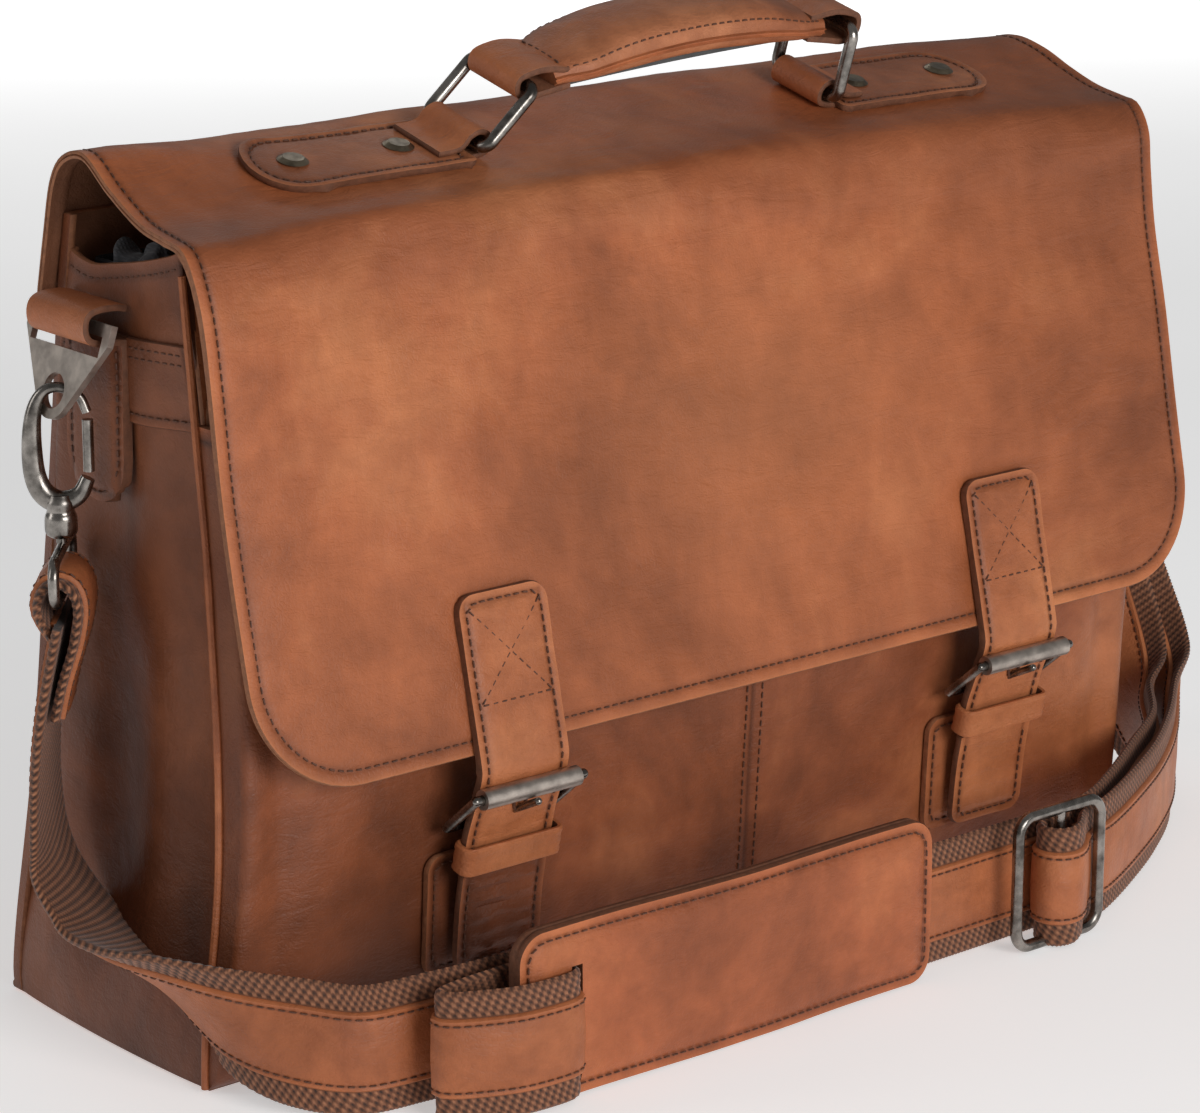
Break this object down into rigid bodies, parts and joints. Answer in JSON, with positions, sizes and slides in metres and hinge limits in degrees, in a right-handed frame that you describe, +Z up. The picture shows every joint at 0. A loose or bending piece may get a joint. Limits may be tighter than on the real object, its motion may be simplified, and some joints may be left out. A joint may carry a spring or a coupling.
{
  "type": "leather briefcase",
  "caption": "Tan leather briefcase with a full front flap, buckled front straps, a top handle on rings and a clip-on webbing shoulder strap with pad.",
  "frame": {"origin": "centre of the underside of the base, on the floor", "axes": "+Z up; the front with the flap and buckles faces -Y; +X is to the right as seen from the front"},
  "size_m": [0.4905, 0.192, 0.3086],
  "materials": {
    "bag_leather": "tan pull-up leather, mottled, semi-matt",
    "gusset_leather": "darker brown pull-up leather",
    "trim_leather": "light tan leather with dark stitching",
    "webbing": "brown coarse woven webbing with a leather strip",
    "gunmetal": "antique nickel, brushed, semi-gloss",
    "rivet_metal": "dull antique brass",
    "lining_cloth": "plain dark grey woven lining",
    "divider_padding": "dark grey cloth over thin foam",
    "base_board": "plain stiffening board",
    "handle_core": "firm filler cord"
  },
  "bodies": {
    "root": {"adjuster_slide": "gunmetal", "back_panel": "bag_leather", "base_board": "base_board", "base_panel": "bag_leather", "catch_tab_left": "bag_leather", "catch_tab_right": "bag_leather", "flap_rear_fold": "bag_leather", "front_panel": "bag_leather", "front_pocket": "bag_leather", "gusset_left": "gusset_leather", "gusset_right": "gusset_leather", "hook_swivel_left": "gunmetal", "hook_swivel_right": "gunmetal", "laptop_divider": "divider_padding", "main_lining": "lining_cloth", "ring_tab_left": "trim_leather", "ring_tab_right": "trim_leather", "shoulder_pad": "bag_leather", "side_band_left": "bag_leather", "side_band_right": "bag_leather", "side_piping": "bag_leather", "snap_sockets": "gunmetal", "strap_front_layer": "webbing", "strap_left": "webbing", "strap_loop_left": "trim_leather", "strap_loop_right": "trim_leather", "strap_middle_layer": "webbing", "strap_right_inner": "webbing", "strap_right_outer": "webbing"},
    "flap_top": {"flap_top": "bag_leather", "flap_front_fold": "bag_leather", "handle_anchor_left": "trim_leather", "handle_anchor_right": "trim_leather", "handle_rivets": "rivet_metal"},
    "flap_front": {"flap_front": "bag_leather", "front_strap_left": "bag_leather", "front_strap_right": "bag_leather", "buckle_frame_left": "gunmetal", "buckle_frame_right": "gunmetal", "strap_keeper_left": "bag_leather", "strap_keeper_right": "bag_leather"},
    "handle_ring_left": {"handle_ring_left": "gunmetal"},
    "handle_grip": {"handle_grip": "trim_leather", "handle_core": "handle_core"},
    "handle_ring_right": {"handle_ring_right": "gunmetal"},
    "buckle_roller_left": {"buckle_roller_left": "gunmetal"},
    "buckle_prong_left": {"buckle_prong_left": "gunmetal"},
    "strap_tail_left": {"strap_tail_left": "bag_leather", "snap_stud_left": "gunmetal"},
    "strap_ring_left": {"strap_ring_left": "gunmetal"},
    "hook_left": {"hook_body_left": "gunmetal"},
    "hook_gate_left": {"hook_gate_left": "gunmetal"},
    "buckle_roller_right": {"buckle_roller_right": "gunmetal"},
    "buckle_prong_right": {"buckle_prong_right": "gunmetal"},
    "strap_tail_right": {"strap_tail_right": "bag_leather", "snap_stud_right": "gunmetal"},
    "strap_ring_right": {"strap_ring_right": "gunmetal"},
    "hook_right": {"hook_body_right": "gunmetal"},
    "hook_gate_right": {"hook_gate_right": "gunmetal"}
  },
  "joints": [
    {"name": "flap_lift", "type": "hinge", "parent": "root", "child": "flap_top", "pos_m": [0, 0.0175, 0.2735], "axis": [1, 0, 0], "range_deg": [-100, 0]},
    {"name": "flap_fold", "type": "hinge", "parent": "flap_top", "child": "flap_front", "pos_m": [0, -0.0465, 0.2575], "axis": [1, 0, 0], "range_deg": [-150, 0], "deforming": ["strap_tail_left", "strap_tail_right", "snap_stud_left", "snap_stud_right"]},
    {"name": "handle_swing", "type": "hinge", "parent": "flap_top", "child": "handle_ring_left", "pos_m": [-0.074, -0.01668, 0.27423], "axis": [0, 0.9701, 0.2425], "range_deg": [-18, 18]},
    {"name": "grip_turn", "type": "hinge", "parent": "handle_ring_left", "child": "handle_grip", "pos_m": [-0.05794, -0.02101, 0.29153], "axis": [0, 0.9701, 0.2425], "range_deg": [-20.5, 20.5]},
    {"name": "ring_right_swing", "type": "hinge", "parent": "flap_top", "child": "handle_ring_right", "pos_m": [0.074, -0.01668, 0.27423], "axis": [0, 0.9701, 0.2425], "range_deg": [-13.5, 13.5]},
    {"name": "roller_spin_left", "type": "hinge", "parent": "flap_front", "child": "buckle_roller_left", "pos_m": [-0.107, -0.0934, 0.0855], "axis": [1, 0, 0], "continuous": true},
    {"name": "prong_pivot_left", "type": "hinge", "parent": "flap_front", "child": "buckle_prong_left", "pos_m": [-0.107, -0.0789, 0.0732], "axis": [1, 0, 0], "range_deg": [0, 6]},
    {"name": "tail_swing_left", "type": "hinge", "parent": "flap_front", "child": "strap_tail_left", "pos_m": [-0.107, -0.0808, 0.057], "axis": [1, 0, 0], "range_deg": [-55, 0]},
    {"name": "ring_rock_left", "type": "hinge", "parent": "root", "child": "strap_ring_left", "pos_m": [-0.206, 0, 0.2295], "axis": [0, 1, 0], "range_deg": [-2.5, 2.5]},
    {"name": "hook_swivel_left", "type": "hinge", "parent": "root", "child": "hook_left", "pos_m": [-0.21264, 0, 0.20905], "axis": [0, 0, 1], "range_deg": [-6, 6]},
    {"name": "gate_press_left", "type": "hinge", "parent": "hook_left", "child": "hook_gate_left", "pos_m": [-0.20575, -0.00579, 0.18435], "axis": [-0.6428, -0.766, 0], "range_deg": [0, 25], "stiffness_Nm_per_rad": 0.004},
    {"name": "roller_spin_right", "type": "hinge", "parent": "flap_front", "child": "buckle_roller_right", "pos_m": [0.107, -0.0934, 0.0855], "axis": [1, 0, 0], "continuous": true},
    {"name": "prong_pivot_right", "type": "hinge", "parent": "flap_front", "child": "buckle_prong_right", "pos_m": [0.107, -0.0789, 0.0732], "axis": [1, 0, 0], "range_deg": [0, 6]},
    {"name": "tail_swing_right", "type": "hinge", "parent": "flap_front", "child": "strap_tail_right", "pos_m": [0.107, -0.0808, 0.057], "axis": [1, 0, 0], "range_deg": [-55, 0]},
    {"name": "ring_rock_right", "type": "hinge", "parent": "root", "child": "strap_ring_right", "pos_m": [0.206, 0, 0.2295], "axis": [0, 1, 0], "range_deg": [-2.5, 2.5]},
    {"name": "hook_swivel_right", "type": "hinge", "parent": "root", "child": "hook_right", "pos_m": [0.21264, 0, 0.20905], "axis": [0, 0, 1], "range_deg": [-6, 6]},
    {"name": "gate_press_right", "type": "hinge", "parent": "hook_right", "child": "hook_gate_right", "pos_m": [0.20575, -0.00579, 0.18435], "axis": [-0.6428, 0.766, 0], "range_deg": [0, 25], "stiffness_Nm_per_rad": 0.004}
  ],
  "couplings": [
    {"joint": "grip_turn", "follows": "handle_swing", "ratio": -1.1112},
    {"joint": "ring_right_swing", "follows": "handle_swing", "ratio": 0.71656}
  ]
}
